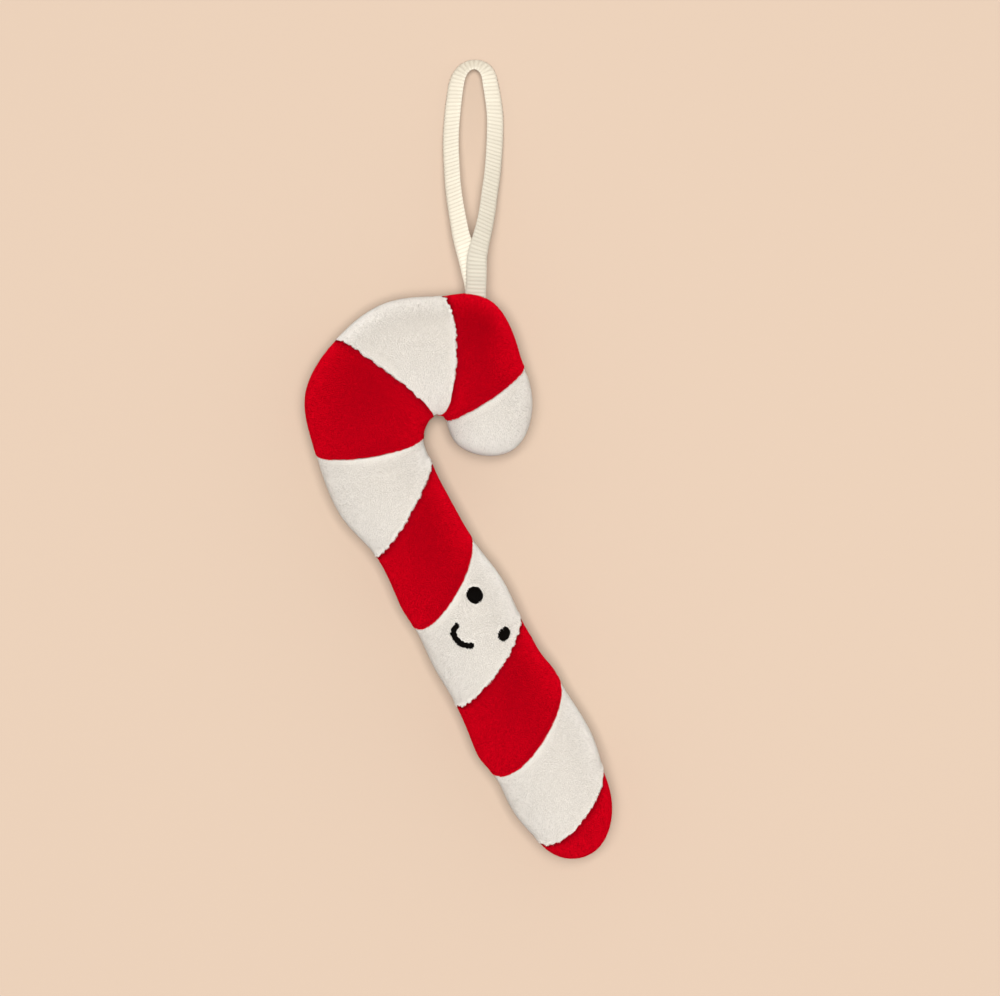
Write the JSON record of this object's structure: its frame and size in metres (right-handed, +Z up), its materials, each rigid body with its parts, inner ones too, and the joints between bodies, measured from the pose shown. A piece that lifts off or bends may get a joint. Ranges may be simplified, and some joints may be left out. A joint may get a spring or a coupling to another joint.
{
  "type": "plush candy cane ornament",
  "caption": "Stuffed plush candy cane with a stitched smiling face and slanted stripes, hung from a ribbon loop.",
  "frame": {"origin": "under the middle of the stuffed body, on the surface that the cane lies on", "axes": "+Z up out of the face side, +Y along the shaft from its foot towards the hook, +X from the shaft towards the tip of the hook"},
  "size_m": [0.0859, 0.1823, 0.025],
  "materials": {
    "white_plush": "short soft pile, warm white",
    "red_plush": "short soft pile, deep christmas red",
    "black_thread": "black satin stitch",
    "ribbon": "cream grosgrain ribbon with fine cross ribs"
  },
  "bodies": {
    "root": {"panel_01_white": "white_plush", "panel_02_red": "red_plush", "panel_03_white": "white_plush", "panel_04_red": "red_plush", "panel_05_white": "white_plush", "panel_06_red": "red_plush", "panel_07_white": "white_plush", "panel_08_red": "red_plush", "panel_09_white": "white_plush", "panel_10_red": "red_plush", "eye_hook_side": "black_thread", "eye_foot_side": "black_thread", "smile": "black_thread", "ribbon_loop": "ribbon"}
  },
  "joints": []
}
